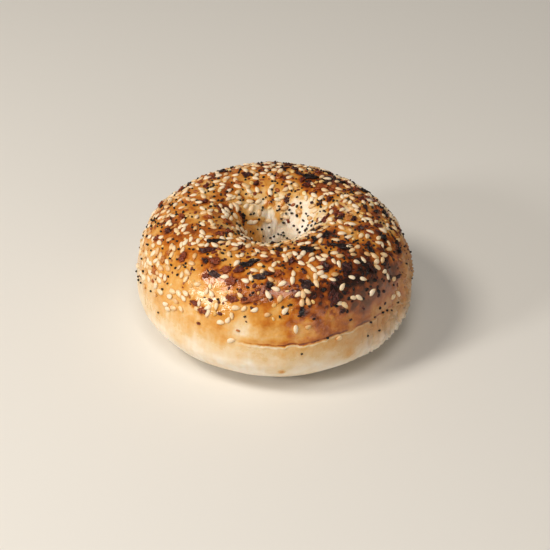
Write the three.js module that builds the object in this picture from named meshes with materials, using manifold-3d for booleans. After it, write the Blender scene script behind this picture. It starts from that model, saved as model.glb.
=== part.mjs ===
import * as THREE from "three";
import { mergeVertices } from "three/addons/utils/BufferGeometryUtils.js";
import Module from "manifold-3d";

// A baked everything bagel: one plump ring of dough with sesame seeds and toasted onion chips
// stuck to its glazed top. Millimetres, +Z up. The bagel rests on its flat underside at z = 0,
// and the middle of its hole is the Z axis.
// Two angles in degrees name a place on the dough: direction runs round the bagel, with 0 at +X
// and 90 at +Y, and round runs round the ring's own section, with 0 facing outwards, 90 at the
// top and 180 in the hole.

// Driving sizes of the ring
const outerRadius = 54;
const height = 46.4;
const crestRadius = 28;
const throatRadius = 7.8;
const waistHeight = 15.3;

// The section is four quarters of a superellipse, and each has its own squareness.
const outerTopSquareness = 2.28;
const outerBaseSquareness = 1.82;
const holeSquareness = 2.46;

// The dough spread a little on its tray: its section runs this far below the floor, and the
// floor flattens it over this softness.
const baseSink = 1.5;
const baseSoftness = 1;

// No hand-rolled ring is even. Each swell has a number of lobes, a size, and the direction of one
// of its high spots.
const widthSwells = [
  { lobes: 2, size: 0.59, at: -61 },
  { lobes: 3, size: 0.24, at: -73 },
  { lobes: 4, size: 0.21, at: -20 },
];
const heightSwells = [
  { lobes: 1, size: 0.27, at: -146 },
  { lobes: 2, size: 0.52, at: -36 },
  { lobes: 3, size: 0.37, at: -31 },
];

// The hole is slightly oval, and its wall is pleated further down, where the dough was gathered in.
// Both fade in as the skin turns inwards: the swells by this share of the turn, the pleats from it.
const holeSwells = [
  { lobes: 1, size: 0.71, at: 73 },
  { lobes: 2, size: 1.04, at: 19 },
];
const holeTurn = 0.5;
const throatPleats = [
  { lobes: 5, size: 0.5, at: 128 },
  { lobes: 8, size: 0.35, at: 20 },
];
const pleatStart = 0.35;

// Where the glazed top meets the pale base, the skin tore and curled up into a thin ledge along
// the front. The ledge itself is in millimetres, and the other values here are degrees.
const tearRound = 19.5;
const tearWander = [{ lobes: 5, size: 1.6, at: -54 }];
const tearLip = 0.7;
const ledge = 0.5;
const ledgeReach = 34;
const ledgeStart = -108;
const ledgeEnd = -38;
const ledgeFade = 14;

// Grid of the dough
const stepsAlong = 64;
const stepsRound = 28;

// Sesame seeds are drops, part buried. Onion chips are flat, with their top face this far proud.
// Of each kind, the first so many that are scattered are solid here.
const sesame = {
  length: 3.3,
  width: 1.8,
  thickness: 1.05,
  bury: 0.3,
  taper: 0.4,
  count: 640,
  modelled: 162,
  run: 1907,
};
const onionChip = {
  length: 3.6,
  width: 2.2,
  thickness: 1.5,
  proud: 0.62,
  count: 96,
  modelled: 32,
  run: 4021,
};
const chipCorners = 6;
const chipLeast = 0.36;
const chipSpare = 0.14;
const chipRun = 733;
const scaleLeast = 0.88;
const scaleSpare = 0.24;

// Where the toppings lie, as angles round the section: none below low, all from full to fade, and
// few beyond last. The glaze is bare further up at the front right, most in the direction bareMost,
// and on it a few seeds stray.
const sesameBand = { low: 14, full: 38, fade: 108, last: 138, inHole: 0.07, end: 168 };
const frontBare = 24;
const bareMost = -40;
const strays = { share: 0.06, low: 10, full: 24 };
const patchDepth = 0.28;
const onionBand = { low: 34, full: 62, fade: 100, last: 122 };
const onionMost = -15;
const onionLeast = 0.35;

// The scatter draws its round angles from this first one over this span. No patch of one degree
// by one degree has more skin than mostSkin, in square millimetres.
const firstRound = -5;
const roundSpan = 190;
const mostSkin = 0.62;

// The large onion chips show most. Their headings are seen from above.
const largeChips = [
  { direction: -138, round: 87, length: 7.5, width: 2.6, heading: 5 },
  { direction: -136, round: 76, length: 6.0, width: 3.0, heading: -10 },
  { direction: -144, round: 62, length: 4.2, width: 3.2, heading: 60 },
  { direction: -126, round: 72, length: 5.5, width: 2.6, heading: -20 },
  { direction: -106, round: 79, length: 8.0, width: 3.2, heading: 25 },
  { direction: -122, round: 63, length: 6.5, width: 2.4, heading: -45 },
  { direction: -117, round: 69, length: 4.5, width: 3.0, heading: 0 },
  { direction: -110, round: 72, length: 4.5, width: 3.2, heading: 10 },
  { direction: -112, round: 62, length: 4.6, width: 3.6, heading: 0 },
  { direction: -98, round: 69, length: 6.0, width: 2.6, heading: 0 },
  { direction: -64, round: 90, length: 6.5, width: 3.6, heading: -20 },
  { direction: -42, round: 79, length: 7.0, width: 3.0, heading: 0 },
  { direction: -74, round: 62, length: 6.5, width: 3.4, heading: -10 },
  { direction: -63, round: 49, length: 6.0, width: 4.0, heading: -50 },
  { direction: -51, round: 64, length: 6.0, width: 4.2, heading: 80 },
  { direction: 63, round: 85, length: 7.0, width: 3.5, heading: 0 },
  { direction: 47, round: 92, length: 6.5, width: 3.0, heading: 10 },
  { direction: -109, round: 50, length: 5.0, width: 2.6, heading: -30 },
  { direction: -100, round: 52, length: 8.0, width: 2.4, heading: 15 },
  { direction: -121, round: 36, length: 4.0, width: 2.4, heading: -40 },
  { direction: -126, round: 39, length: 4.5, width: 1.6, heading: -40 },
  { direction: -156, round: 40, length: 4.2, width: 2.8, heading: 80 },
  { direction: -154, round: 51, length: 3.6, width: 2.4, heading: 40 },
];

const wasm = await Module();
wasm.setup();

const radians = THREE.MathUtils.degToRad;

// A soft step from 0 at one end to 1 at the other.
function ease(low, high, value) {
  const share = Math.min(1, Math.max(0, (value - low) / (high - low)));
  return share * share * (3 - 2 * share);
}

// The same angle between -180 and 180 degrees.
function wrapped(angle) {
  return ((((angle + 180) % 360) + 360) % 360) - 180;
}

function swell(swells, direction) {
  let total = 0;
  for (const { lobes, size, at } of swells) {
    total += size * Math.cos(radians(lobes * (direction - at)));
  }
  return total;
}

// The floor flattens the dough: well above it nothing changes, and below it everything ends at z = 0.
function flattened(z) {
  if (z > baseSoftness) return z;
  if (z < -baseSoftness) return 0;
  return (z + baseSoftness) ** 2 / (4 * baseSoftness);
}

function tearLine(direction) {
  return tearRound + swell(tearWander, direction);
}

// How far the torn skin stands out below the tear line.
function ledgeAt(direction, round) {
  const below = tearLine(direction) - wrapped(round);
  if (below < 0 || below > ledgeReach) return 0;
  const starts = ease(ledgeStart, ledgeStart + ledgeFade, direction);
  const ends = ease(ledgeEnd - ledgeFade, ledgeEnd, direction);
  return ledge * starts * (1 - ends) * (1 - below / ledgeReach) ** 2;
}

// A point on the dough's skin, from its two angles in degrees.
function doughPoint(direction, round) {
  const around = wrapped(direction);
  const out = Math.cos(radians(round));
  const up = Math.sin(radians(round));
  const facesOut = out >= 0;
  const facesUp = up >= 0;
  const halfWidth = facesOut ? outerRadius - crestRadius : crestRadius - throatRadius;
  const rise = height - waistHeight + swell(heightSwells, around);
  const halfHeight = facesUp ? rise : waistHeight + baseSink;
  const outerSquareness = facesUp ? outerTopSquareness : outerBaseSquareness;
  const n = facesOut ? outerSquareness : holeSquareness;
  const reach = (Math.abs(out / halfWidth) ** n + Math.abs(up / halfHeight) ** n) ** (-1 / n);
  const spread = 1 + swell(widthSwells, around) / outerRadius;
  const hole = swell(holeSwells, around) * ease(0, holeTurn, -out);
  const pleats = swell(throatPleats, around) * ease(pleatStart, 1, -out);
  const r = (crestRadius + reach * out) * spread + hole + pleats + ledgeAt(around, round);
  const z = flattened(waistHeight + reach * up);
  return new THREE.Vector3(r * Math.cos(radians(around)), r * Math.sin(radians(around)), z);
}

// The skin's outward normal, and how much skin a step of both angles covers.
function skinAt(direction, round) {
  const step = 0.5;
  const along = doughPoint(direction + step, round).sub(doughPoint(direction - step, round));
  const over = doughPoint(direction, round + step).sub(doughPoint(direction, round - step));
  const normal = along.clone().cross(over);
  const area = normal.length();
  return { normal: normal.normalize(), area };
}

// The ring's closed skin. Each section starts with two points across the tear, so its edge is crisp.
function dough() {
  const positions = [];
  const index = [];
  for (let i = 0; i < stepsAlong; i++) {
    const direction = (360 * i) / stepsAlong - 180;
    const tear = tearLine(direction);
    positions.push(...doughPoint(direction, tear).toArray());
    for (let j = 1; j < stepsRound; j++) {
      const round = tear + tearLip + ((j - 1) * (360 - tearLip)) / (stepsRound - 1);
      positions.push(...doughPoint(direction, round).toArray());
    }
  }
  for (let i = 0; i < stepsAlong; i++) {
    for (let j = 0; j < stepsRound; j++) {
      const nextI = (i + 1) % stepsAlong;
      const nextJ = (j + 1) % stepsRound;
      const a = i * stepsRound + j;
      const b = nextI * stepsRound + j;
      const c = nextI * stepsRound + nextJ;
      const d = i * stepsRound + nextJ;
      index.push(a, b, c, a, c, d);
    }
  }
  const geometry = new THREE.BufferGeometry();
  geometry.setAttribute("position", new THREE.Float32BufferAttribute(positions, 3));
  geometry.setIndex(index);
  return geometry;
}

// A drop-shaped seed lying along X, pointed at +X.
function sesameSeed(scale) {
  const sides = 6;
  const rings = 3;
  const geometry = new THREE.SphereGeometry(scale / 2, sides, rings);
  geometry.rotateZ(-Math.PI / 2);
  const corners = geometry.getAttribute("position");
  for (let i = 0; i < corners.count; i++) {
    const x = corners.getX(i);
    const narrow = 1 - (sesame.taper * x) / (scale / 2);
    corners.setXYZ(i, x, corners.getY(i) * narrow, corners.getZ(i) * narrow);
  }
  geometry.scale(sesame.length, sesame.width, sesame.thickness);
  return geometry;
}

// A flat chip of dried onion with an uneven edge, its top face at z = 0.
function chip(length, width, thickness, draw) {
  const outline = new THREE.Shape();
  for (let i = 0; i < chipCorners; i++) {
    const angle = (2 * Math.PI * i) / chipCorners;
    const reach = chipLeast + chipSpare * draw();
    const x = length * reach * Math.cos(angle);
    const y = width * reach * Math.sin(angle);
    if (i === 0) outline.moveTo(x, y);
    else outline.lineTo(x, y);
  }
  outline.closePath();
  const geometry = new THREE.ExtrudeGeometry(outline, { depth: thickness, bevelEnabled: false });
  geometry.translate(0, 0, -thickness);
  return geometry;
}

// The same numbers between 0 and 1 each time, by the Park-Miller rule, from one whole number.
function drawer(run) {
  const factor = 48271;
  const modulus = 2147483647;
  let state = run;
  return () => {
    state = (state * factor) % modulus;
    return state / modulus;
  };
}

// How thickly the sesame lies, from 0 to 1, with soft patches.
function sesameDensity(direction, round) {
  if (round > sesameBand.end) return 0;
  const bare = frontBare * Math.max(0, Math.cos(radians(direction - bareMost)));
  const flank = ease(sesameBand.low + bare, sesameBand.full + bare, round);
  const side = flank * (1 - strays.share) + strays.share * ease(strays.low, strays.full, round);
  const hole = 1 - (1 - sesameBand.inHole) * ease(sesameBand.fade, sesameBand.last, round);
  const slant = Math.sin(radians(5 * direction + 3 * round));
  const counter = Math.sin(radians(3 * direction - 4 * round));
  return side * hole * (1 - patchDepth + patchDepth * slant * counter);
}

// The onion chips lie in a band over the crest, thickest at the front and on the right.
function onionDensity(direction, round) {
  const rightward = 0.5 + 0.5 * Math.cos(radians(direction - onionMost));
  const flank = ease(onionBand.low, onionBand.full, round);
  const hole = ease(onionBand.fade, onionBand.last, round);
  return flank * (1 - hole) * (onionLeast + (1 - onionLeast) * rightward);
}

// Scatters a topping over the skin by its density. None lies closer to another than both allow.
function scatter(topping, density, taken) {
  const draw = drawer(topping.run);
  const found = [];
  while (found.length < topping.count) {
    const direction = 360 * draw() - 180;
    const round = roundSpan * draw() + firstRound;
    const chance = draw();
    const heading = 360 * draw();
    const scale = scaleLeast + scaleSpare * draw();
    const { normal, area } = skinAt(direction, round);
    if (chance > (density(direction, round) * area) / mostSkin) continue;
    const place = doughPoint(direction, round);
    const room = (topping.width * scale) / 2;
    if (taken.some((other) => place.distanceTo(other.place) < room + other.room)) continue;
    const spot = { place, normal, room, heading, scale };
    found.push(spot);
    taken.push(spot);
  }
  return found;
}

// Lays a shape on the skin with its X axis along a heading seen from above.
function laid(geometry, { place, normal, heading }, lift) {
  const ahead = new THREE.Vector3(Math.cos(radians(heading)), Math.sin(radians(heading)), 0);
  const side = normal.clone().cross(ahead).normalize();
  const along = side.clone().cross(normal);
  const pose = new THREE.Matrix4().makeBasis(along, side, normal);
  pose.setPosition(place.clone().addScaledVector(normal, lift));
  return geometry.applyMatrix4(pose);
}

function solid(geometry) {
  geometry.deleteAttribute("normal");
  geometry.deleteAttribute("uv");
  const weld = 1e-4;
  const merged = mergeVertices(geometry, weld);
  return new wasm.Manifold(
    new wasm.Mesh({
      numProp: 3,
      vertProperties: merged.getAttribute("position").array,
      triVerts: new Uint32Array(merged.getIndex().array),
    }),
  );
}

// Fuses the toppings to the dough. Only the outer skin is kept, so no crack stays sealed inside.
function fused(pieces) {
  const joined = wasm.Manifold.union(pieces.map(solid));
  const parts = joined.decompose().sort((a, b) => b.volume() - a.volume());
  const { vertProperties, triVerts } = parts[0].getMesh();
  const geometry = new THREE.BufferGeometry();
  geometry.setAttribute("position", new THREE.BufferAttribute(vertProperties, 3));
  geometry.setIndex(new THREE.BufferAttribute(triVerts, 1));
  return geometry;
}

const largeSpots = largeChips.map(({ direction, round, length, width, heading }) => {
  const place = doughPoint(direction, round);
  const { normal } = skinAt(direction, round);
  return { place, normal, room: width / 2, heading, length, width };
});
const taken = [...largeSpots];
const onionSpots = scatter(onionChip, onionDensity, taken);
const sesameSpots = scatter(sesame, sesameDensity, taken);

const pieces = [dough()];
const chipDraw = drawer(chipRun);
for (const spot of largeSpots) {
  const shape = chip(spot.length, spot.width, onionChip.thickness, chipDraw);
  pieces.push(laid(shape, spot, onionChip.proud));
}
for (const spot of onionSpots.slice(0, onionChip.modelled)) {
  const length = onionChip.length * spot.scale;
  const width = onionChip.width * spot.scale;
  const shape = chip(length, width, onionChip.thickness, chipDraw);
  pieces.push(laid(shape, spot, onionChip.proud));
}
for (const spot of sesameSpots.slice(0, sesame.modelled)) {
  const lift = (0.5 - sesame.bury) * sesame.thickness * spot.scale;
  pieces.push(laid(sesameSeed(spot.scale), spot, lift));
}

const crust = new THREE.MeshStandardMaterial({ color: "#c98a45", roughness: 0.45, metalness: 0 });
const bagel = new THREE.Mesh(fused(pieces), crust);
bagel.name = "bagel";

const group = new THREE.Group();
group.add(bagel);
export default group;
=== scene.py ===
import math

import bpy
import numpy as np
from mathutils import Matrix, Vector, noise
from mathutils.bvhtree import BVHTree
from mathutils.kdtree import KDTree


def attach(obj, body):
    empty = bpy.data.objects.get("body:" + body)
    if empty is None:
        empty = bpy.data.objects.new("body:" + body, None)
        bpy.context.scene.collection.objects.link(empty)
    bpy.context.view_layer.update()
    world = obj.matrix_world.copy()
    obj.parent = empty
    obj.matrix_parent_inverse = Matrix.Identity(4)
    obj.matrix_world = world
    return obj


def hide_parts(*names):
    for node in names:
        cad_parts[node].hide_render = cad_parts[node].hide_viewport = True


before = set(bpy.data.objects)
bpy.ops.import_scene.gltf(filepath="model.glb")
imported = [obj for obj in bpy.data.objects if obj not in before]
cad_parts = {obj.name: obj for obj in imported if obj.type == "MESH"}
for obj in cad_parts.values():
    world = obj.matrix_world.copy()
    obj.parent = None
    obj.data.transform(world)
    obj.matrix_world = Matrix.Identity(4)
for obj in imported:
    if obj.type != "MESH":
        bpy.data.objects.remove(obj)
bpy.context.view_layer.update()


# Dough ring
# Wheat dough, rolled and joined by hand, boiled, brushed with egg and baked on a tray. The egg turned
# the top glossy and brown, the base and the hole stayed pale, and the skin tore between them in front.

# Lengths are in millimetres. Two angles in degrees name a place: direction runs round the bagel from
# +X towards +Y, and round runs round the ring's section, with 0 outwards, 90 on top, 180 in the hole.
MM = 0.001
OUTER_RADIUS = 54
HEIGHT = 46.4
CREST_RADIUS = 28
THROAT_RADIUS = 7.8
WAIST_HEIGHT = 15.3
OUTER_TOP_SQUARENESS = 2.28
OUTER_BASE_SQUARENESS = 1.82
HOLE_SQUARENESS = 2.46
BASE_SINK = 1.5
BASE_SOFTNESS = 1

# Each swell has a number of lobes, a size, and the direction of one of its high spots.
WIDTH_SWELLS = ((2, 0.59, -61), (3, 0.24, -73), (4, 0.21, -20))
HEIGHT_SWELLS = ((1, 0.27, -146), (2, 0.52, -36), (3, 0.37, -31))
HOLE_SWELLS = ((1, 0.71, 73), (2, 1.04, 19))
HOLE_TURN = 0.5
THROAT_PLEATS = ((5, 0.5, 128), (8, 0.35, 20))
PLEAT_START = 0.35

# The tear, the ledge of skin that curls out below it, and the rags of its edge
TEAR_ROUND = 19.5
TEAR_WANDER = ((5, 1.6, -54),)
LEDGE = 0.5
LEDGE_REACH = 34
LEDGE_START = -108
LEDGE_END = -38
LEDGE_FADE = 14
RAG_LENGTH = 5
RAG_ANGLE = 1.8

# The mesh, with its steps closer together at the tear
STEPS_ALONG = 436
STEPS_ROUND = 228
TEAR_CROWDING = 0.7


def ease(low, high, value):
    """A soft step from 0 at one end to 1 at the other."""
    share = np.clip((value - low) / (high - low), 0, 1)
    return share * share * (3 - 2 * share)


def wrapped(angle):
    """The same angle between -180 and 180 degrees."""
    return (angle + 180) % 360 - 180


def near(angle, middle, reach, full=0):
    """1 up to the full angle from the middle on either side, fading to 0 at the reach."""
    return 1 - ease(full, reach, np.abs(wrapped(angle - middle)))


def band(value, low, full, fade, last):
    """1 from full to fade, and 0 below low and above last."""
    return ease(low, full, value) * (1 - ease(fade, last, value))


def mixed(first, second, share):
    return first + (second - first) * share


def swell(swells, direction):
    """What all the swells add at a direction."""
    return sum(size * np.cos(np.radians(lobes * (direction - at))) for lobes, size, at in swells)


def flattened(z):
    """The tray flattened the dough softly, so that nothing is left below z = 0."""
    soft = np.clip(z + BASE_SOFTNESS, 0, None) ** 2 / (4 * BASE_SOFTNESS)
    return np.where(z > BASE_SOFTNESS, z, soft)


def tear_line(direction):
    return TEAR_ROUND + swell(TEAR_WANDER, direction)


def along_tear(direction):
    """1 where the skin tore, fading to 0 past both ends of the tear."""
    starts = ease(LEDGE_START, LEDGE_START + LEDGE_FADE, direction)
    ends = ease(LEDGE_END - LEDGE_FADE, LEDGE_END, direction)
    return starts * (1 - ends)


def ledge_at(direction, round_, ragged):
    """How far the torn skin stands out below the tear line and its ragged edge."""
    below = tear_line(direction) + ragged - wrapped(round_)
    share = (1 - np.clip(below / LEDGE_REACH, 0, 1)) ** 2
    return np.where(below < 0, 0, LEDGE * along_tear(direction) * share)


def dough_point(direction, round_, ragged=0):
    """Points of the ring's even skin, whose torn edge may leave the tear line by an angle."""
    around = wrapped(direction)
    out = np.cos(np.radians(round_))
    up = np.sin(np.radians(round_))
    faces_out = out >= 0
    faces_up = up >= 0
    half_width = np.where(faces_out, OUTER_RADIUS - CREST_RADIUS, CREST_RADIUS - THROAT_RADIUS)
    rise = HEIGHT - WAIST_HEIGHT + swell(HEIGHT_SWELLS, around)
    half_height = np.where(faces_up, rise, WAIST_HEIGHT + BASE_SINK)
    outer = np.where(faces_up, OUTER_TOP_SQUARENESS, OUTER_BASE_SQUARENESS)
    n = np.where(faces_out, outer, HOLE_SQUARENESS)
    reach = (np.abs(out / half_width) ** n + np.abs(up / half_height) ** n) ** (-1 / n)
    spread = 1 + swell(WIDTH_SWELLS, around) / OUTER_RADIUS
    hole = swell(HOLE_SWELLS, around) * ease(0, HOLE_TURN, -out)
    pleats = swell(THROAT_PLEATS, around) * ease(PLEAT_START, 1, -out)
    r = (CREST_RADIUS + reach * out) * spread + hole + pleats + ledge_at(around, round_, ragged)
    z = flattened(WAIST_HEIGHT + reach * up)
    return np.stack((r * np.cos(np.radians(around)), r * np.sin(np.radians(around)), z), -1)


def skin_at(direction, round_):
    """The skin's outward normal, and how much of it a degree of both angles covers."""
    step = 0.5
    along = dough_point(direction + step, round_) - dough_point(direction - step, round_)
    over = dough_point(direction, round_ + step) - dough_point(direction, round_ - step)
    normal = np.cross(along, over)
    area = np.linalg.norm(normal, axis=-1, keepdims=True)
    return normal / area, area[..., 0]


def clouds(places, size, octaves=3):
    """Uneven noise between about -1 and 1 at each place, with lumps of this size."""
    fading = 1
    finer = 2
    return np.array([noise.fractal(Vector(place) / size, fading, finer, octaves) for place in places])


def cells(places, size):
    """The distance from each place to the nearest of many scattered points, over their spacing."""
    return np.array([noise.voronoi(Vector(place) / size)[0][0] for place in places])


steps_along = np.arange(STEPS_ALONG) / STEPS_ALONG
steps_round = np.arange(STEPS_ROUND) / STEPS_ROUND
crowded = steps_round - TEAR_CROWDING * np.sin(2 * np.pi * steps_round) / (2 * np.pi)
grid = np.meshgrid(360 * steps_along - 180, 360 * crowded, indexing="ij")
direction, offset = (angles.ravel() for angles in grid)
rim = np.radians(360 * steps_along)
rim = -OUTER_RADIUS * np.stack((np.cos(rim), np.sin(rim), np.zeros(STEPS_ALONG)), -1)
ragged = np.repeat(RAG_ANGLE * clouds(rim, RAG_LENGTH), STEPS_ROUND)
tear = tear_line(direction) + ragged
round_ = wrapped(tear + offset)
even = dough_point(direction, round_, ragged)
normal, _ = skin_at(direction, round_)

# Lying flat, the skin is a strip: round the bagel on a circle, and up the section as a height.
STRIP_UP = 0.48

angle = np.radians(direction)
strip = np.stack((OUTER_RADIUS * np.cos(angle), OUTER_RADIUS * np.sin(angle), STRIP_UP * round_), -1)


def stretched(length, height):
    """The strip's places, counted in forms of this length along it and this height up it."""
    return strip / np.array((length, length, height))


# The zones that differ in relief and colour, with the angles or heights that their edges fade between
HOLE_TOP = (104, 132)
HOLE_FOOT = (-176, -150)
FLANK_TOP = (8, 30)
FLOOR_FADE = (0.4, 7)

in_hole = ease(*HOLE_TOP, round_) + (1 - ease(*HOLE_FOOT, round_)) * (round_ < 0)
on_top = ease(*FLANK_TOP, round_) * (1 - in_hole)
off_floor = ease(*FLOOR_FADE, even[:, 2])
torn = along_tear(direction)
above_tear = round_ - tear
upper = above_tear > 0

# An area of the skin has a middle direction, the angles to either side that it is full to and fades
# out at, and the four angles of its band round the section. The skin crumpled in two of them: where
# the dough slumped at the lower right, and up its right edge.
SLUMPED = (-31, 8, 30, (-46, -24, 12, 28))
RIGHT_EDGE = (-12, 8, 24, (6, 18, 50, 66))


def within(area, direction, round_):
    """1 inside an area of the skin, fading to 0 round it."""
    middle, full, reach, levels = area
    return near(direction, middle, reach, full) * band(round_, *levels)


crumpled = np.maximum(within(SLUMPED, direction, round_), within(RIGHT_EDGE, direction, round_))

# Relief: how large each kind of form is, how far it rises, and where it fades
LUMPS = {"size": 16, "rise": 0.4}
WRINKLES = {"length": 9, "height": 3.2, "rise": 0.26}
BLISTERS = {"size": 2.6, "rise": 0.22, "fade": (0.62, 0.1), "patch": 9, "patch_fade": (-0.3, 0.5)}
WALL_LUMPS = {"size": 4.2, "rise": 0.9}
PINCHES = {"length": 2.7, "height": 8, "rise": 2.2, "sharpness": 4, "level": 0.45}
LIP = {"size": 1.5, "rise": 0.5, "fade": (-3.5, 0)}
SEAM_FILL = {"rise": 0.3, "fade": (0, 10)}
CREASES = (
    # direction, rise, width, slant
    (101, 0.5, 2.4, 0.3),
    (112, 0.7, 2.2, -0.1),
    (126, 0.8, 3.4, 0.6),
)
CREASE_MIDDLE = 140
CREASE_BAND = (118, 134, 160, 174)
CREASE_WAVER = 5

wrinkles = clouds(stretched(WRINKLES["length"], WRINKLES["height"]), 1, octaves=4)
blisters = ease(*BLISTERS["fade"], cells(even, BLISTERS["size"]))
blistered = ease(*BLISTERS["patch_fade"], clouds(even, BLISTERS["patch"], octaves=2))
folds = clouds(stretched(PINCHES["length"], PINCHES["height"]), 1, octaves=2)
pinches = (1 - np.abs(folds)) ** PINCHES["sharpness"]
wall_lumps = clouds(even, WALL_LUMPS["size"], octaves=4)
lip = clouds(strip, LIP["size"], octaves=2) * ease(*LIP["fade"], above_tear) * ~upper

relief = LUMPS["rise"] * clouds(even, LUMPS["size"], octaves=2)
relief += WRINKLES["rise"] * wrinkles * on_top
relief += BLISTERS["rise"] * blisters * blistered * on_top
relief += WALL_LUMPS["rise"] * in_hole * wall_lumps
waver = CREASE_WAVER * wall_lumps
for middle, rise, width, slant in CREASES:
    aside = (wrapped(direction - middle - slant * (round_ - CREASE_MIDDLE)) + waver) / width
    relief += rise * np.exp(-aside * aside) * band(round_, *CREASE_BAND)
relief += PINCHES["rise"] * crumpled * (pinches - PINCHES["level"])
relief += LIP["rise"] * torn * lip
relief += SEAM_FILL["rise"] * torn * upper * (1 - ease(*SEAM_FILL["fade"], above_tear))
relief *= off_floor
skin = even + normal * relief[:, None]
skin[:, 2] = np.clip(skin[:, 2], 0, None)

corner = np.arange(STEPS_ALONG * STEPS_ROUND).reshape(STEPS_ALONG, STEPS_ROUND)
next_along = np.roll(corner, -1, axis=0)
skin_faces = np.stack(
    (corner, next_along, np.roll(next_along, -1, axis=1), np.roll(corner, -1, axis=1)), -1
).reshape(-1, 4)

# How well baked the skin is: 0 is white crumb, 0.2 gold, 0.45 amber, 0.7 brown and 1 scorched. It
# browned most in front on the right and least on the left, and the base stayed pale. Below, painted
# shade and painted highlight are added to it in a few places.
BROWNING = {"rise": (-133, -48), "right_fade": (-60, 20), "right_less": 0.65, "back_fade": (90, 160)}
BASE = {"least": 0.03, "more": 0.19, "browned": 0.12, "rise": (-12, 20)}
SIDE = {"least": 0.31, "browned": 0.26, "rise": (4, 34)}
CROWN = {"least": 0.5, "browned": 0.17, "rise": (36, 68), "waver": 8, "size": 9}

browned = ease(*BROWNING["rise"], direction)
browned *= 1 - BROWNING["right_less"] * ease(*BROWNING["right_fade"], direction)
browned *= 1 - ease(*BROWNING["back_fade"], direction)
base = BASE["least"] + (BASE["more"] + BASE["browned"] * browned) * ease(*BASE["rise"], round_)
side = SIDE["least"] + SIDE["browned"] * browned
crown = CROWN["least"] + CROWN["browned"] * browned
glazed = torn * upper + (1 - torn) * ease(*SIDE["rise"], round_)
crowned = ease(*CROWN["rise"], round_ + CROWN["waver"] * clouds(even, CROWN["size"], octaves=2))

# The wall of the hole stayed white but for a sector on its left, which widens with depth. The sector
# is partly browned and partly painted shade, following the shadow that the left rim casts into the
# hole. The brown top reaches a little further over the hole's edge on the left than on the right.
WALL = {"least": 0.02, "browned": 0.47, "left": 172, "fade": (0.5, 1.6), "foot": -120}
SECTOR = {"least": 30, "widening": 0.5, "from": 110, "depth": 40}
MOUTH = {"right": 99, "left_more": 5, "reach": 110, "waver": 9, "size": 5, "fade": (-7, 21)}

sector = SECTOR["least"] + SECTOR["widening"] * np.clip(round_ - SECTOR["from"], 0, SECTOR["depth"])
off_left = np.abs(wrapped(direction - WALL["left"])) / sector
# the left sector: partly browning, partly painted shade of the left rim
wall = WALL["least"] + WALL["browned"] * (1 - ease(*WALL["fade"], off_left))
mouth = MOUTH["right"] + MOUTH["left_more"] * (1 - near(direction, 0, MOUTH["reach"]))
past_mouth = round_ + MOUTH["waver"] * clouds(even, MOUTH["size"], octaves=2) - mouth
into_hole = ease(*MOUTH["fade"], past_mouth) + (round_ < WALL["foot"])
bake_and_painted_light = mixed(mixed(mixed(base, side, glazed), crown, crowned), wall, into_hole)

# Areas that are browner or paler than the rest, and by how much: a scorched patch in front on the
# right, a paler stretch on the right of the crown, and two areas of painted light marked below
HEAT_AND_PAINTED_LIGHT = (
    ((-52, 8, 46, (24, 44, 56, 70)), 0.27),
    # painted shade: the back right of the crown, which faces away from the lamps, made browner
    ((42, 8, 34, (66, 76, 86, 96)), 0.14),
    # partly painted highlight: a paler gold patch low on the front glaze, where a broad soft highlight lies
    ((-98, 4, 18, (20, 26, 31, 38)), -0.16),
    ((8, 14, 50, (58, 88, 102, 112)), -0.2),
)


def heat_and_painted_light(direction, round_):
    """How much browner than the rest the skin and what lies on it are at a place, painted light included.
    """
    return sum(more * within(area, direction, round_) for area, more in HEAT_AND_PAINTED_LIGHT)


bake_and_painted_light += heat_and_painted_light(direction, round_)

# Spots of the base that touched something hot
SPOTS = (
    # direction, round, radius, how much more
    (-60, -1, 3.2, 0.2),
    (-87, -9, 1.2, 0.45),
)
for middle, level, size, more in SPOTS:
    away = np.linalg.norm(even - dough_point(middle, level), axis=1) / size
    bake_and_painted_light += more * np.exp(-away * away)

# Unevenness: broad and fine clouds of colour and the wrinkles, all strongest on the glaze, streaks up
# the pale flank, and stains between the seeds at the hole's edge
PATCHY_LEAST = 0.3
BROAD_CLOUDS = {"size": 8, "more": 0.3}
FINE_CLOUDS = {"size": 2.4, "more": 0.14}
WRINKLED_MORE = 0.08
STREAKS = {"length": 1.5, "height": 8, "more": 0.06}
BLOTCH_SIZE = 4
EDGE_STAINS = {"more": 0.36, "fade": (0.15, 0.5), "band": (101, 108, 120, 144)}

broad = clouds(even, BROAD_CLOUDS["size"], octaves=2)
fine = clouds(even, FINE_CLOUDS["size"])
streaks = clouds(stretched(STREAKS["length"], STREAKS["height"]), 1, octaves=2)
blotches = clouds(even, BLOTCH_SIZE, octaves=2)
most_glazed = glazed * (1 - into_hole) * np.maximum(crowned, mixed(PATCHY_LEAST, 1, browned))
uneven = BROAD_CLOUDS["more"] * broad + FINE_CLOUDS["more"] * fine + WRINKLED_MORE * wrinkles
bake_and_painted_light += mixed(PATCHY_LEAST, 1, most_glazed) * uneven
bake_and_painted_light += STREAKS["more"] * streaks * (1 - crowned) * (1 - browned)
bake_and_painted_light += EDGE_STAINS["more"] * ease(*EDGE_STAINS["fade"], blotches) * band(round_, *EDGE_STAINS["band"])

# The tear: a broken dark line over it, which runs on past its end, and its pale lip. The dark line is
# partly browned crust and partly painted shade in the crevice above the lip. The lip is partly pale
# crumb and partly a painted highlight where its edge catches the light.
TEAR_SHADE = {"more": 0.28, "band": (0.2, 0.7, 1.1, 2.6), "broken": (-0.35, 0.15)}
SHADE_PAST_END = {"share": 0.8, "reach": 16}
LIP_PALE = {"less": 0.14, "band": (-1.8, -0.8, 0, 0.6)}

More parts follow.
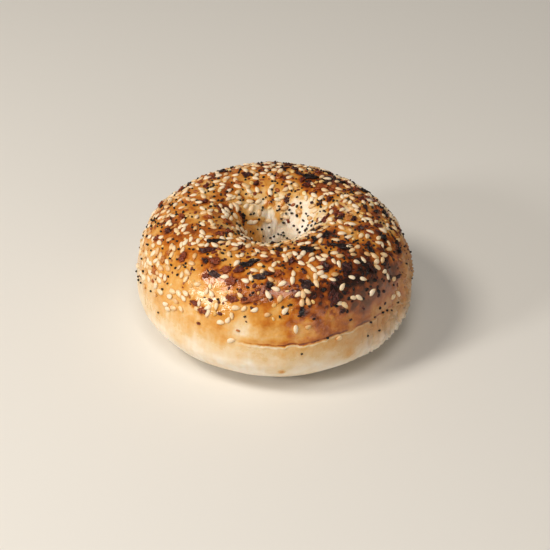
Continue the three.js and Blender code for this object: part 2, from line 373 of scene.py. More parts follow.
shaded = torn + SHADE_PAST_END["share"] * near(direction, LEDGE_END, SHADE_PAST_END["reach"])
shaded *= ease(*TEAR_SHADE["broken"], blotches) * band(above_tear, *TEAR_SHADE["band"])
bake_and_painted_light += TEAR_SHADE["more"] * shaded
bake_and_painted_light -= LIP_PALE["less"] * torn * band(above_tear, *LIP_PALE["band"])

# Crumpled skin is darker in its hollows than on its folds: partly browning, partly painted shade in
# the hollows and painted highlight on the folds. The glaze scorched in front on the right.
HOLLOWS_MORE = 0.1
FOLDS_LESS = 0.22
SCORCHED = (-48, 10, 40, (30, 42, 60, 74))
SCORCH = {"more": 0.28, "fade": (0.05, 0.45)}

bake_and_painted_light += crumpled * (HOLLOWS_MORE - FOLDS_LESS * pinches)
bake_and_painted_light += SCORCH["more"] * within(SCORCHED, direction, round_) * ease(*SCORCH["fade"], fine)
bake_and_painted_light = np.clip(bake_and_painted_light, 0, 1)

# The lower glaze on the right is mixed towards a greyer brown than elsewhere.
DULLED = (-16, 26, 66, (-20, 12, 36, 56))

dulled = within(DULLED, direction, round_)


def finished_mesh(name, points, faces, values, material, smooth=True):
    """A piece from its points, with one number of each kind of value for each point."""
    mesh = bpy.data.meshes.new(name)
    mesh.from_pydata((points * MM).tolist(), [], faces)
    mesh.polygons.foreach_set("use_smooth", [smooth] * len(mesh.polygons))
    for kind, numbers in values.items():
        layer = mesh.attributes.new(kind, "FLOAT", "POINT")
        layer.data.foreach_set("value", np.asarray(numbers, dtype=np.float32))
    mesh.materials.append(material)
    piece = bpy.data.objects.new(name, mesh)
    bpy.context.scene.collection.objects.link(piece)
    return piece


def linear(shade):
    """An sRGB hex shade as linear red, green, blue and full alpha."""
    parts = [int(shade[i : i + 2], 16) / 255 for i in (1, 3, 5)]
    return *(p / 12.92 if p <= 0.04045 else ((p + 0.055) / 1.055) ** 2.4 for p in parts), 1


def add(material, kind, inputs=None, stops=(), **settings):
    """Adds a node with its settings. An input gets a value, or a link from a socket."""
    tree = material.node_tree
    node = tree.nodes.new("ShaderNode" + kind)
    for name, value in settings.items():
        setattr(node, name, value)
    for name, value in (inputs or {}).items():
        if isinstance(value, bpy.types.NodeSocket):
            tree.links.new(value, node.inputs[name])
        else:
            node.inputs[name].default_value = value
    for i, (place, shade) in enumerate(stops):    # a new ramp already has two stops
        stop = node.color_ramp.elements[i] if i < 2 else node.color_ramp.elements.new(place)
        stop.position = place
        stop.color = linear(shade)
    return node


def started(name):
    """An empty node material."""
    material = bpy.data.materials.new(name)
    material.use_nodes = True
    material.node_tree.nodes.clear()
    return material


# Egg-glazed crust: a glossy skin from white crumb to scorched brown, with light sinking a little way
# into the dough. Its pores are too fine to show, so they are drawn at 0.7 mm.
MOTTLES = {"grain": 3.2, "shift": 0.18}
SPECKS = {"grain": 0.9, "shift": 0.16}
PORES = {"grain": 0.7, "share": 0.35}
BUMPS = {"grain": 2.2, "rise": 0.5}
STAIN_SHIFT = 0.3
DULLEST = 0.5

crust = started("egg_glazed_crust")
place = add(crust, "TexCoord").outputs["Object"]
baked_and_painted_light = add(crust, "Attribute", attribute_name="bake_and_painted_light").outputs["Fac"]
stain = add(crust, "Attribute", attribute_name="stain").outputs["Fac"]
dullness = add(crust, "Attribute", attribute_name="dulled").outputs["Fac"]
mottle = add(
    crust,
    "TexNoise",
    {"Vector": place, "Scale": 1 / (MOTTLES["grain"] * MM), "Detail": 4, "Roughness": 0.6},
)
speckle = add(
    crust,
    "TexNoise",
    {"Vector": place, "Scale": 1 / (SPECKS["grain"] * MM), "Detail": 3, "Roughness": 0.6},
)
mottled = add(
    crust,
    "Math",
    {0: mottle.outputs["Fac"], 1: MOTTLES["shift"], 2: -MOTTLES["shift"] / 2},
    operation="MULTIPLY_ADD",
)
speckled = add(
    crust,
    "Math",
    {0: speckle.outputs["Fac"], 1: SPECKS["shift"], 2: -SPECKS["shift"] / 2},
    operation="MULTIPLY_ADD",
)
grainy = add(crust, "Math", {0: mottled.outputs[0], 1: speckled.outputs[0]}, operation="ADD")
stained = add(crust, "Math", {0: stain, 1: STAIN_SHIFT, 2: baked_and_painted_light}, operation="MULTIPLY_ADD")
weight = add(
    crust,
    "MapRange",
    {"Value": baked_and_painted_light, "From Min": 0.05, "From Max": 0.4, "To Min": 0.25, "To Max": 1},
)
varied = add(
    crust,
    "Math",
    {0: grainy.outputs[0], 1: weight.outputs[0], 2: stained.outputs[0]},
    operation="MULTIPLY_ADD",
)
tint = add(
    crust,
    "ValToRGB",
    {"Fac": varied.outputs[0]},
    stops=(
        (0, "#F9EEDD"),
        (1, "#22100A"),
        (0.1, "#EFDABA"),
        (0.2, "#E8C794"),
        (0.32, "#E1AC61"),
        (0.45, "#D3903B"),
        (0.58, "#BC6A1B"),
        (0.7, "#984B12"),
        (0.82, "#682D0E"),
        (0.92, "#411D0C"),
    ),
)
dull_share = add(crust, "Math", {0: dullness, 1: DULLEST}, operation="MULTIPLY")
colour = add(
    crust,
    "MixRGB",
    {"Fac": dull_share.outputs[0], "Color1": tint.outputs["Color"], "Color2": linear("#AC8069")},
)
gloss = add(
    crust,
    "MapRange",
    {"Value": varied.outputs[0], "From Min": 0.08, "From Max": 0.24, "To Min": 0.6, "To Max": 0.15},
)
pores = add(
    crust,
    "TexNoise",
    {"Vector": place, "Scale": 1 / (PORES["grain"] * MM), "Detail": 3, "Roughness": 0.55},
)
bumps = add(
    crust,
    "TexNoise",
    {"Vector": place, "Scale": 1 / (BUMPS["grain"] * MM), "Detail": 3, "Roughness": 0.5},
)
height = add(
    crust,
    "Math",
    {0: pores.outputs["Fac"], 1: PORES["share"], 2: bumps.outputs["Fac"]},
    operation="MULTIPLY_ADD",
)
bump = add(
    crust,
    "Bump",
    {"Height": height.outputs[0], "Strength": 0.42, "Distance": BUMPS["rise"] * MM},
)
shader = add(
    crust,
    "BsdfPrincipled",
    {
        "Base Color": colour.outputs["Color"],
        "Roughness": gloss.outputs[0],
        "Normal": bump.outputs["Normal"],
        "IOR": 1.5,
        "Specular IOR Level": 0.46,
        "Subsurface Weight": 0.14,
        "Subsurface Radius": (1, 0.5, 0.25),
        "Subsurface Scale": 2.4 * MM,
    },
)
add(crust, "OutputMaterial", {"Surface": shader.outputs["BSDF"]})

dough = finished_mesh("dough_ring", skin, skin_faces.tolist(), {"bake_and_painted_light": bake_and_painted_light, "dulled": dulled}, crust)
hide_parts("bagel")
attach(dough, "root")


# Onion chips
# Flakes of dried onion, cut flat and brittle, pressed into the wet glaze before baking. Sugar in them
# burnt, so they run from amber through red-brown to purple-black, and it stained the glaze round them.
# The large ones are named by place, size, heading and tone, and the rest are scattered.
LARGE_CHIPS = (
    # direction, round, length, width, heading, tone
    (-138, 87, 7.5, 2.6, 5, 0.02),
    (-136, 76, 6.0, 3.0, -10, 0.3),
    (-144, 62, 4.2, 3.2, 60, 0.55),
    (-126, 72, 5.5, 2.6, -20, 0.55),
    (-106, 79, 8.0, 3.2, 25, 0.03),
    (-122, 63, 6.5, 2.4, -45, 0.22),
    (-117, 69, 4.5, 3.0, 0, 0.62),
    (-110, 72, 4.5, 3.2, 10, 0.42),
    (-112, 62, 4.6, 3.6, 0, 0.6),
    (-98, 69, 6.0, 2.6, 0, 0.16),
    (-64, 90, 6.5, 3.6, -20, 0.02),
    (-42, 79, 7.0, 3.0, 0, 0.05),
    (-74, 62, 6.5, 3.4, -10, 0.18),
    (-63, 49, 6.0, 4.0, -50, 0.3),
    (-51, 64, 6.0, 4.2, 80, 0.22),
    (63, 85, 7.0, 3.5, 0, 0.05),
    (47, 92, 6.5, 3.0, 10, 0.68),
    (-109, 50, 5.0, 2.6, -30, 0.55),
    (-100, 52, 8.0, 2.4, 15, 0.7),
    (-121, 36, 4.0, 2.4, -40, 0.6),
    (-126, 39, 4.5, 1.6, -40, 0.5),
    (-156, 40, 4.2, 2.8, 80, 0.8),
    (-154, 51, 3.6, 2.4, 40, 0.9),
)
ONION = {"length": 3.6, "width": 2.2, "count": 96, "run": 4021}
ONION_BAND = (34, 62, 100, 122)
ONION_MOST = -15
ONION_LEAST = 0.35
CHIP_PROUD = 0.62
CHIP_SIDES = 16
# Each ring of a chip: its share of the outline, and its height as a share of how proud the chip is
CHIP_LEVELS = ((0.3, 0.8), (0.6, 0.8), (0.84, 0.85), (0.96, 0.8), (1, 0.4), (0.88, -0.9))
CHIP_LOBES = ((2, 0.09), (3, 0.1), (5, 0.12), (7, 0.09))
CHIP_CURLS = ((2, 0.35), (3, 0.25))
CHIP_SPARE = (0.8, 0.5)
CHIP_REACH = 0.42
CHIP_BUCKLE = 0.8
CHIP_ALLOWANCE = (1.1, 1.15)
CHIP_TONES = {"most": 0.7, "power": 1.5}
CHIP_RUN = 733
NOISE_SPAN = 40
LEFT_PALER = 0.3
# How much darker the onion is where the skin is browner, painted shade included
HEAT_AND_PAINTED_LIGHT_DARKER = 1.1
STAIN = {"size": 2, "reach": (0.8, 2.6)}

# All toppings: how much their sizes differ, the stretch of the section that they may lie on, and the
# most skin that a degree of both angles covers
SCALE_LEAST = 0.88
SCALE_SPARE = 0.24
FIRST_ROUND = -5
ROUND_SPAN = 190
MOST_SKIN = 0.62


def drawer(run):
    """The same numbers between 0 and 1 each time, by the Park-Miller rule, from one whole number."""
    factor = 48271
    modulus = 2147483647
    state = run
    while True:
        state = state * factor % modulus
        yield state / modulus


def scatter(topping, density, taken):
    """Scatters a topping by its density. None lies closer to another than both allow."""
    draw = drawer(topping["run"])
    found = []
    while len(found) < topping["count"]:
        direction = 360 * next(draw) - 180
        round_ = ROUND_SPAN * next(draw) + FIRST_ROUND
        chance = next(draw)
        heading = 360 * next(draw)
        scale = SCALE_LEAST + SCALE_SPARE * next(draw)
        normal, area = skin_at(direction, round_)
        if chance > density(direction, round_) * area / MOST_SKIN:
            continue
        place = dough_point(direction, round_)
        room = topping["width"] * scale / 2
        if any(math.dist(place, other["place"]) < room + other["room"] for other in taken):
            continue
        spot = {"place": place, "normal": normal, "room": room, "heading": heading, "scale": scale}
        spot |= {"direction": direction, "round": round_}
        found.append(spot)
        taken.append(spot)
    return found


crust_tree = BVHTree.FromPolygons(skin.tolist(), skin_faces.tolist())
# How far off the even skin the crust is looked for
SEEK = 3


def unit(vector):
    return vector / np.linalg.norm(vector)


def laid(shape, spot, lift=0, lean=(0, 0)):
    """Sets a shape on the crust with its X axis along a heading seen from above, leaning a little."""
    start = Vector(spot["place"] + spot["normal"] * SEEK)
    hit, slope, _, _ = crust_tree.ray_cast(start, Vector(-spot["normal"]), 2 * SEEK)
    place = spot["place"] if hit is None else np.array(hit)
    normal = spot["normal"] if hit is None else unit(spot["normal"] + np.array(slope))
    heading = math.radians(spot["heading"])
    side = unit(np.cross(normal, (math.cos(heading), math.sin(heading), 0)))
    along = np.cross(side, normal)
    normal = unit(normal + lean[0] * along + lean[1] * side)
    side = unit(np.cross(normal, along))
    along = np.cross(side, normal)
    x, y, z = shape.T[..., None]
    return place + x * along + y * side + (z + lift) * normal


def joined_piece(name, shapes, rings, tones, material, smooth=True, shading=0):
    """Many closed shapes as one piece. Each is a first point, rings of points and a last point."""
    size = len(shapes[0])
    sides = (size - 2) // rings
    ring = 1 + np.arange(rings * sides).reshape(rings, sides)
    turned = np.roll(ring, -1, axis=1)
    walls = np.stack((ring[:-1], turned[:-1], turned[1:], ring[1:]), -1).reshape(-1, 4).tolist()
    start = [(0, second, first) for first, second in zip(ring[0], turned[0])]
    end = [(size - 1, first, second) for first, second in zip(ring[-1], turned[-1])]
    closed = walls + start + end
    faces = [[corner + i * size for corner in face] for i in range(len(shapes)) for face in closed]
    shades = np.repeat(tones, size) + np.tile(np.broadcast_to(shading, size), len(shapes))
    return finished_mesh(name, np.concatenate(shapes), faces, {"tone": shades}, material, smooth)


def drawn_swells(sizes, draw):
    """Swells of up to these sizes, each with a high spot anywhere."""
    return [(lobes, size * next(draw), 360 * next(draw)) for lobes, size in sizes]


def chip_shape(length, width, proud, draw):
    """A thin flake with a torn edge, buckled on top and curled up in places, its foot in the dough."""
    edge = drawn_swells(CHIP_LOBES, draw)
    curls = drawn_swells(CHIP_CURLS, draw)
    shift = Vector((NOISE_SPAN * next(draw), NOISE_SPAN * next(draw), 0))
    points = [(0, 0, proud * CHIP_LEVELS[0][1])]
    for share, height in CHIP_LEVELS:
        for i in range(CHIP_SIDES):
            turn = 360 * i / CHIP_SIDES
            reach = share * (CHIP_REACH + swell(edge, turn))
            x = length * reach * math.cos(math.radians(turn))
            y = width * reach * math.sin(math.radians(turn))
            buckle = CHIP_BUCKLE * noise.noise(Vector((x, y, 0)) + shift)
            points.append((x, y, proud * height + buckle + share**2 * swell(curls, turn)))
    points.append((0, 0, -proud))
    return np.array(points)


def rightward(direction):
    """1 where the onion lies thickest and burnt darkest, and 0 on the other side of the bagel."""
    return 0.5 + 0.5 * math.cos(math.radians(direction - ONION_MOST))


def onion_density(direction, round_):
    return band(round_, *ONION_BAND) * mixed(ONION_LEAST, 1, rightward(direction))


def toasted_tone(spot, tone):
    """The tone of a bit of onion, which burnt darkest on the right and where the skin did. It is also
    darkened in the skin's painted shade and paled in its painted highlight.
    """
    paler = LEFT_PALER * (1 - rightward(spot["direction"]))
    return tone + paler - HEAT_AND_PAINTED_LIGHT_DARKER * heat_and_painted_light(spot["direction"], spot["round"])


large_spots = []
for direction, round_, length, width, heading, tone in LARGE_CHIPS:
    normal, _ = skin_at(direction, round_)
    place = dough_point(direction, round_)
    large_spots.append({"place": place, "normal": normal, "room": width / 2, "heading": heading})
taken = list(large_spots)
onion_spots = scatter(ONION, onion_density, taken)

# Burnt dried onion: thin, brittle and shiny with burnt sugar, with darker edges.
burnt_onion = started("burnt_onion")
place = add(burnt_onion, "TexCoord").outputs["Object"]
tone = add(burnt_onion, "Attribute", attribute_name="tone").outputs["Fac"]
veins = add(
    burnt_onion,
    "TexNoise",
    {"Vector": place, "Scale": 1 / (0.8 * MM), "Detail": 3, "Roughness": 0.6},
)
veined = add(burnt_onion, "Math", {0: veins.outputs["Fac"], 1: 0.9, 2: -0.45}, operation="MULTIPLY_ADD")
varied = add(burnt_onion, "Math", {0: tone, 1: veined.outputs[0]}, operation="ADD")
tint = add(
    burnt_onion,
    "ValToRGB",
    {"Fac": varied.outputs[0]},
    stops=(
        (0, "#150D0B"),
        (1, "#CF9350"),
        (0.18, "#2B1512"),
        (0.34, "#4E2019"),
        (0.5, "#6E2A14"),
        (0.66, "#94441B"),
        (0.82, "#B4672A"),
    ),
)
bump = add(burnt_onion, "Bump", {"Height": veins.outputs["Fac"], "Strength": 0.9, "Distance": 0.5 * MM})
shader = add(
    burnt_onion,
    "BsdfPrincipled",
    {
        "Base Color": tint.outputs["Color"],
        "Roughness": 0.32,
        "Normal": bump.outputs["Normal"],
        "IOR": 1.5,
        "Specular IOR Level": 0.35,
        "Subsurface Weight": 0.05,
        "Subsurface Radius": (1, 0.35, 0.15),
        "Subsurface Scale": 0.6 * MM,
    },
)
add(burnt_onion, "OutputMaterial", {"Surface": shader.outputs["BSDF"]})

draw = drawer(CHIP_RUN)
chips = []
tones = []
for spot, (_, _, length, width, _, tone) in zip(large_spots, LARGE_CHIPS):
    longer, wider = CHIP_ALLOWANCE
    chips.append(laid(chip_shape(length * longer, width * wider, CHIP_PROUD, draw), spot))
    tones.append(tone)
for spot in onion_spots:
    length = ONION["length"] * spot["scale"] * (CHIP_SPARE[0] + CHIP_SPARE[1] * next(draw))
    width = ONION["width"] * spot["scale"] * (CHIP_SPARE[0] + CHIP_SPARE[1] * next(draw))
    chips.append(laid(chip_shape(length, width, CHIP_PROUD, draw), spot))
    tones.append(toasted_tone(spot, CHIP_TONES["most"] * next(draw) ** CHIP_TONES["power"]))
onion = joined_piece("onion_chips", chips, len(CHIP_LEVELS), tones, burnt_onion)
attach(onion, "root")

# The stain that burnt sugar left round each chip
chip_tree = KDTree(len(taken))
for i, spot in enumerate(taken):
    chip_tree.insert(spot["place"], i)
chip_tree.balance()
gaps = np.array([chip_tree.find(point)[2] for point in even])
stains = (1 - ease(*STAIN["reach"], gaps + clouds(even, STAIN["size"], octaves=2))) * on_top
stain_layer = dough.data.attributes.new("stain", "FLOAT", "POINT")
stain_layer.data.foreach_set("value", stains.astype(np.float32))


# Onion crumbs
# The same dried onion broken small. The bits burnt darkest, and they lie thickest where the chips do.
CRUMB = {"length": 1.8, "width": 1.2, "flatness": 0.6, "rings": 3, "sides": 6, "count": 620, "run": 8117}
CRUMB_BAND = (20, 54, 96, 120)
CRUMB_LEAST = 0.65
CRUMB_BARE = 10
CRUMB_BAREST = -110
CRUMB_BURNT = ((-52, 6, 34, (24, 40, 60, 72)), (45, 12, 45, (52, 64, 88, 100)))
CRUMB_BURNT_MORE = 0.9
CRUMB_STRAYS = {"share": 0.04, "band": (0, 16, 112, 150)}
CRUMB_SPARE = (0.55, 0.8)
CRUMB_LIFT = 0.08
CRUMB_TONES = (0.1, 0.5)
CRUMB_RUN = 1283
GRAIN_GIRTH = (0.7, 0.6)


def crumb_density(direction, round_):
    low, full, fade, last = CRUMB_BAND
    bare = CRUMB_BARE * max(0, math.cos(math.radians(direction - CRUMB_BAREST)))
    thick = band(round_, low + bare, full + bare, fade, last)
    thick *= mixed(CRUMB_LEAST, 1, rightward(direction))
    burnt = sum(within(area, direction, round_) for area in CRUMB_BURNT)
    strays = CRUMB_STRAYS["share"] * band(round_, *CRUMB_STRAYS["band"])
    return thick + CRUMB_BURNT_MORE * burnt + strays


def grain_shape(grain, size, draw):
    """An angular grain of one kind of topping, pointed at both ends."""
    length = grain["length"] * size
    width = grain["width"] * size
    points = [(-length / 2, 0, 0)]
    for i in range(grain["rings"]):
        x = -math.cos(math.pi * (i + 1) / (grain["rings"] + 1))
        girth = math.sqrt(1 - x * x) * width / 2
        for j in range(grain["sides"]):
            turn = 2 * math.pi * j / grain["sides"]
            reach = girth * (GRAIN_GIRTH[0] + GRAIN_GIRTH[1] * next(draw))
            rise = grain["flatness"] * reach * math.sin(turn)
            points.append((x * length / 2, reach * math.cos(turn), rise))
    points.append((length / 2, 0, 0))
    return np.array(points)


draw = drawer(CRUMB_RUN)
bits = []
tones = []
for spot in scatter(CRUMB, crumb_density, taken):
    size = spot["scale"] * (CRUMB_SPARE[0] + CRUMB_SPARE[1] * next(draw))
    bits.append(laid(grain_shape(CRUMB, size, draw), spot, CRUMB_LIFT))
    tones.append(toasted_tone(spot, CRUMB_TONES[0] + CRUMB_TONES[1] * next(draw)))
crumbs = joined_piece("onion_crumbs", bits, CRUMB["rings"], tones, burnt_onion, smooth=False)
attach(crumbs, "root")


# Sesame seeds
# Hulled sesame, flat drop-shaped seeds sunk about a third of their thickness into the glaze. They
# toasted only a little, so they are ivory, with warmer tips.
SESAME = {"length": 3.3, "width": 1.8, "thickness": 1.05, "count": 640, "run": 1907}
SESAME_BURY = 0.3
SESAME_BAND = {"low": 14, "full": 38, "fade": 108, "last": 138, "in_hole": 0.07, "end": 168}
FRONT_BARE = 24
BARE_MOST = -40
STRAYS = {"share": 0.06, "low": 10, "full": 24}
DRIFTS = ((5, 3), (3, -4))
PATCH_DEPTH = 0.28
SEED_SIDES = 12
SEED_RINGS = 9
SEED_BEND = 0.12
SEED_LEAN = (0.3, 0.4)
SEED_TONES = (0.1, 0.7)
POINT_TOAST = {"more": 0.45, "from": 0.6}
BLUNT_TOAST = {"more": 0.2, "to": 0.2}
SEED_RUN = 2203


def sesame_density(direction, round_):
    if round_ > SESAME_BAND["end"]:
        return 0
    bare = FRONT_BARE * max(0, math.cos(math.radians(direction - BARE_MOST)))
    flank = ease(SESAME_BAND["low"] + bare, SESAME_BAND["full"] + bare, round_)
    side = flank * (1 - STRAYS["share"]) + STRAYS["share"] * ease(STRAYS["low"], STRAYS["full"], round_)
    hole = 1 - (1 - SESAME_BAND["in_hole"]) * ease(SESAME_BAND["fade"], SESAME_BAND["last"], round_)
    slant, counter = (math.sin(math.radians(a * direction + b * round_)) for a, b in DRIFTS)
    return side * hole * (1 - PATCH_DEPTH + PATCH_DEPTH * slant * counter)


def seed_shape(length, width, thickness, draw):
    """A flat drop lying along X, blunt at one end and pointed at +X."""
    blunt = 0.5
    pointed = 0.8
    fullest = (blunt - pointed) / (blunt + pointed)
    most = (1 + fullest) ** blunt * (1 - fullest) ** pointed
    bend = SEED_BEND * (next(draw) - 0.5)
    points = [(-length / 2, 0, 0)]
    for i in range(SEED_RINGS):
        x = -math.cos(math.pi * (i + 1) / (SEED_RINGS + 1))
        girth = (1 + x) ** blunt * (1 - x) ** pointed / most
        for j in range(SEED_SIDES):
            turn = 2 * math.pi * j / SEED_SIDES
            y = girth * math.cos(turn) * width / 2
            z = girth * math.sin(turn) * thickness / 2
            points.append((x * length / 2, y + bend * length * (1 - x * x), z))
    points.append((length / 2, 0, 0))
    return np.array(points)


sesame_spots = scatter(SESAME, sesame_density, large_spots + onion_spots)
taken += sesame_spots

# Hulled sesame: satin and slightly see-through, ivory to light gold.
hulled_sesame = started("hulled_sesame")
place = add(hulled_sesame, "TexCoord").outputs["Object"]
tone = add(hulled_sesame, "Attribute", attribute_name="tone").outputs["Fac"]
fleck = add(
    hulled_sesame,
    "TexNoise",
    {"Vector": place, "Scale": 1 / (1.1 * MM), "Detail": 3, "Roughness": 0.6},
)
flecked = add(hulled_sesame, "Math", {0: fleck.outputs["Fac"], 1: 0.5, 2: -0.25}, operation="MULTIPLY_ADD")
varied = add(hulled_sesame, "Math", {0: tone, 1: flecked.outputs[0]}, operation="ADD")
tint = add(
    hulled_sesame,
    "ValToRGB",
    {"Fac": varied.outputs[0]},
    stops=((0, "#F6E5CB"), (1, "#C28342"), (0.45, "#EDCFA2"), (0.78, "#DBAE74")),
)
bump = add(hulled_sesame, "Bump", {"Height": fleck.outputs["Fac"], "Strength": 0.35, "Distance": 0.12 * MM})
shader = add(
    hulled_sesame,
    "BsdfPrincipled",
    {
        "Base Color": tint.outputs["Color"],
        "Roughness": 0.33,
        "Normal": bump.outputs["Normal"],
        "IOR": 1.47,
        "Subsurface Weight": 0.2,
        "Subsurface Radius": (1, 0.7, 0.4),
        "Subsurface Scale": 0.6 * MM,
    },
)
add(hulled_sesame, "OutputMaterial", {"Surface": shader.outputs["BSDF"]})

draw = drawer(SEED_RUN)
seeds = []
tones = []
for spot in sesame_spots:
    length, width, thickness = (SESAME[kind] * spot["scale"] for kind in ("length", "width", "thickness"))
    lean = [most * (next(draw) - 0.5) for most in SEED_LEAN]
    shape = seed_shape(length, width, thickness, draw)
    seeds.append(laid(shape, spot, (0.5 - SESAME_BURY) * thickness, lean))
    tones.append(SEED_TONES[0] + SEED_TONES[1] * next(draw) ** 2)
along = (1 - np.cos(math.pi * np.arange(SEED_RINGS + 2) / (SEED_RINGS + 1))) / 2
toasted = POINT_TOAST["more"] * ease(POINT_TOAST["from"], 1, along)
toasted += BLUNT_TOAST["more"] * ease(BLUNT_TOAST["to"], 0, along)
tips = np.concatenate((toasted[:1], np.repeat(toasted[1:-1], SEED_SIDES), toasted[-1:]))
sesame = joined_piece("sesame_seeds", seeds, SEED_RINGS, tones, hulled_sesame, shading=tips)
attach(sesame, "root")


# Poppy seeds
# Whole blue-black poppy seeds, small and kidney-shaped, which rolled further than the sesame: down the
# front, and over the pale wall of the hole.
POPPY = {"length": 1.12, "width": 0.96, "count": 620, "run": 6151}
POPPY_TOP = (24, 54)
POPPY_BARE = 10
POPPY_BAREST = -90
POPPY_RIM = {"starts": (100, 118), "more": 0.3}
POPPY_ENDS = (134, 152)
POPPY_STRAYS = {"starts": (-5, 2), "share": 0.035}
POPPY_ROLLED = {"area": (-46, 0, 14, (12, 20, 30, 40)), "more": 0.3}
POPPY_FEWER = {"middle": -130, "full": 20, "reach": 80, "less": 0.45}
POPPY_SIDES = 8
POPPY_RINGS = 5
POPPY_SPARE = (0.85, 0.3)
POPPY_DENT = 0.22
POPPY_LIFT = 0.22
POPPY_RUN = 911


def poppy_density(direction, round_):
    bare = POPPY_BARE * max(0, math.cos(math.radians(direction - POPPY_BAREST)))
    top = ease(POPPY_TOP[0] + bare, POPPY_TOP[1] + bare, round_)
    top *= 1 + POPPY_RIM["more"] * ease(*POPPY_RIM["starts"], round_)
    strays = POPPY_STRAYS["share"] * ease(*POPPY_STRAYS["starts"], round_)
    rolled = POPPY_ROLLED["more"] * within(POPPY_ROLLED["area"], direction, round_)
    on_left = near(direction, POPPY_FEWER["middle"], POPPY_FEWER["reach"], POPPY_FEWER["full"])
    fewer = 1 - POPPY_FEWER["less"] * on_left
    return fewer * (top + (strays + rolled)) * (1 - ease(*POPPY_ENDS, round_))


def poppy_shape(length, width):
    """A small kidney, dented on one side."""
    points = [(-length / 2, 0, 0)]
    for i in range(POPPY_RINGS):
        x = -math.cos(math.pi * (i + 1) / (POPPY_RINGS + 1))
        girth = math.sqrt(1 - x * x) * width / 2
        for j in range(POPPY_SIDES):
            turn = 2 * math.pi * j / POPPY_SIDES
            dent = POPPY_DENT * width * (1 - x * x) * max(0, -math.cos(turn)) ** 2
            points.append((x * length / 2, girth * math.cos(turn) + dent, girth * math.sin(turn)))
    points.append((length / 2, 0, 0))
    return np.array(points)


# Poppy seed: dull slate-black, pitted too finely to show, so its pits are drawn at 0.3 mm.
slate_poppy = started("slate_poppy")
place = add(slate_poppy, "TexCoord").outputs["Object"]
tone = add(slate_poppy, "Attribute", attribute_name="tone").outputs["Fac"]
pits = add(slate_poppy, "TexVoronoi", {"Vector": place, "Scale": 1 / (0.3 * MM)})
tint = add(
    slate_poppy,
    "ValToRGB",
    {"Fac": tone},
    stops=((0, "#141110"), (1, "#35261D"), (0.6, "#1D1917")),
)
bump = add(
    slate_poppy,
    "Bump",
    {"Height": pits.outputs["Distance"], "Strength": 0.4, "Distance": 0.06 * MM},
)
shader = add(
    slate_poppy,
    "BsdfPrincipled",
    {
        "Base Color": tint.outputs["Color"],
        "Roughness": 0.55,
        "Normal": bump.outputs["Normal"],
        "IOR": 1.47,
        "Specular IOR Level": 0.35,
    },
)
add(slate_poppy, "OutputMaterial", {"Surface": shader.outputs["BSDF"]})

draw = drawer(POPPY_RUN)
dots = []
tones = []
for spot in scatter(POPPY, poppy_density, taken):
    size = spot["scale"] * (POPPY_SPARE[0] + POPPY_SPARE[1] * next(draw))
    shape = poppy_shape(POPPY["length"] * size, POPPY["width"] * size)
    dots.append(laid(shape, spot, POPPY_LIFT * POPPY["width"] * size))
    tones.append(next(draw))
poppy = joined_piece("poppy_seeds", dots, POPPY_RINGS, tones, slate_poppy)
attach(poppy, "root")


# Garlic grains
# Minced dried garlic, broken into hard angular grains that toasted from cream to deep gold.
GARLIC = {"length": 2.0, "width": 1.4, "flatness": 0.6, "rings": 4, "sides": 7, "count": 170, "run": 3571}
GARLIC_STARTS = (30, 60)
GARLIC_IN_HOLE = {"starts": (112, 135), "less": 0.6}
GARLIC_SPARE = (0.6, 0.6)
GARLIC_LIFT = 0.1
GARLIC_RUN = 5407


def garlic_density(direction, round_):
    fewer = 1 - GARLIC_IN_HOLE["less"] * ease(*GARLIC_IN_HOLE["starts"], round_)
    return ease(*GARLIC_STARTS, round_) * fewer


# Toasted garlic: waxy, cream to deep gold.
toasted_garlic = started("toasted_garlic")
place = add(toasted_garlic, "TexCoord").outputs["Object"]
tone = add(toasted_garlic, "Attribute", attribute_name="tone").outputs["Fac"]
fleck = add(
    toasted_garlic,
    "TexNoise",
    {"Vector": place, "Scale": 1 / (0.8 * MM), "Detail": 3, "Roughness": 0.6},
)
flecked = add(toasted_garlic, "Math", {0: fleck.outputs["Fac"], 1: 0.5, 2: -0.25}, operation="MULTIPLY_ADD")
varied = add(toasted_garlic, "Math", {0: tone, 1: flecked.outputs[0]}, operation="ADD")
tint = add(
    toasted_garlic,
    "ValToRGB",
    {"Fac": varied.outputs[0]},
    stops=((0, "#F2DDAB"), (1, "#9A4F1E"), (0.4, "#E6BE73"), (0.7, "#CC8A3C")),
)
bump = add(toasted_garlic, "Bump", {"Height": fleck.outputs["Fac"], "Strength": 0.5, "Distance": 0.2 * MM})
shader = add(
    toasted_garlic,
    "BsdfPrincipled",
    {
        "Base Color": tint.outputs["Color"],
        "Roughness": 0.42,
        "Normal": bump.outputs["Normal"],
        "IOR": 1.47,
        "Subsurface Weight": 0.15,
        "Subsurface Radius": (1, 0.6, 0.3),
        "Subsurface Scale": 0.6 * MM,
    },
)
add(toasted_garlic, "OutputMaterial", {"Surface": shader.outputs["BSDF"]})

draw = drawer(GARLIC_RUN)
grains = []
tones = []
for spot in scatter(GARLIC, garlic_density, taken):
    size = spot["scale"] * (GARLIC_SPARE[0] + GARLIC_SPARE[1] * next(draw))
    grains.append(laid(grain_shape(GARLIC, size, draw), spot, GARLIC_LIFT))
    tones.append(next(draw))
garlic = joined_piece("garlic_grains", grains, GARLIC["rings"], tones, toasted_garlic, smooth=False)
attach(garlic, "root")


# Floor
# A plain sheet of paper that the bagel rests on, wide enough to fill every view. It is a stage and
# not part of the object.
FLOOR_SIZE = 8000

# Matt paper: pale and slightly warm, without gloss.
paper = started("matt_paper")
shader = add(paper, "BsdfPrincipled", {"Base Color": linear("#E6E4DF"), "Roughness": 0.9})
add(paper, "OutputMaterial", {"Surface": shader.outputs["BSDF"]})
bpy.ops.mesh.primitive_plane_add(size=FLOOR_SIZE * MM)
floor = bpy.context.object
floor.name = "floor"
floor.data.materials.append(paper)


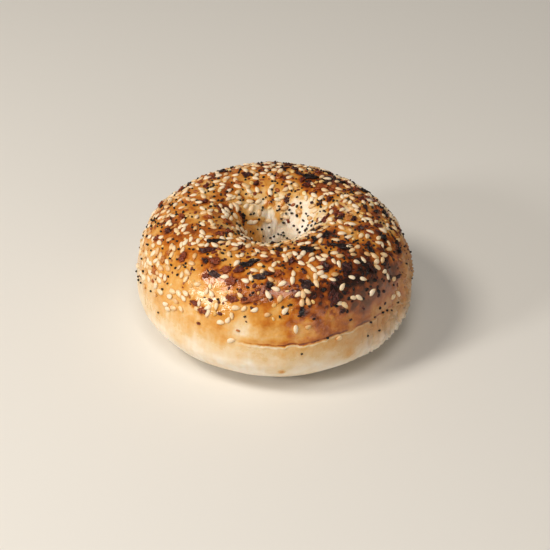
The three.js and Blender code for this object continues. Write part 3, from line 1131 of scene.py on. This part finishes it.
# Lights
# A softbox high on the left gives the soft shadow on the right, and a small low one beside it the
# white glare on the left front. Two weak panels, low in front and overhead, keep the base and the
# hole bright, and an even glow comes from all round.
LIGHTS = {
    # direction and height in degrees, diameter in metres, power in watts, shade
    "key_light": (-162, 52, 0.3, 4.7, "#FFF6EA"),
    "glint_light": (-150, 25, 0.17, 3.1, "#FFFAF4"),
    "front_panel": (-64, 12, 0.5, 0.95, "#FFF6EE"),
    "top_panel": (-90, 64, 0.4, 2.5, "#FFF8F0"),
}
LIGHT_DISTANCE = 1.0
GLOW = 0.2

for name, (around, up, size, power, shade) in LIGHTS.items():
    light = bpy.data.objects.new(name, bpy.data.lights.new(name, "AREA"))
    light.data.shape = "DISK"
    light.data.size = size
    light.data.energy = power
    light.data.color = linear(shade)[:3]
    turn = math.radians(around)
    towards = Vector((math.cos(turn), math.sin(turn), math.tan(math.radians(up))))
    towards.normalize()
    light.location = towards * LIGHT_DISTANCE
    light.rotation_euler = towards.to_track_quat("Z", "Y").to_euler()
    bpy.context.scene.collection.objects.link(light)

world = bpy.data.worlds.new("studio")
bpy.context.scene.world = world
world.use_nodes = True
world.node_tree.nodes["Background"].inputs["Color"].default_value = linear("#F3EEE6")
world.node_tree.nodes["Background"].inputs["Strength"].default_value = GLOW


# Camera
# The photograph looks down on the bagel at 35 degrees from well back, with little perspective. The
# lens and the aim give the bagel its place and size in the frame.
CAMERA_UP = 35
CAMERA_DISTANCE = 700
CAMERA_LENS = 117.2
SENSOR = 36
AIM = (0.35, -1.14, 18.37)

camera = bpy.data.objects.new("camera", bpy.data.cameras.new("camera"))
camera.data.lens = CAMERA_LENS
camera.data.sensor_width = SENSOR
up = math.radians(CAMERA_UP)
back = Vector((0, -math.cos(up), math.sin(up)))
camera.location = (Vector(AIM) + back * CAMERA_DISTANCE) * MM
camera.rotation_euler = back.to_track_quat("Z", "Y").to_euler()
bpy.context.scene.collection.objects.link(camera)
bpy.context.scene.camera = camera
bpy.context.scene.view_settings.view_transform = "Standard"
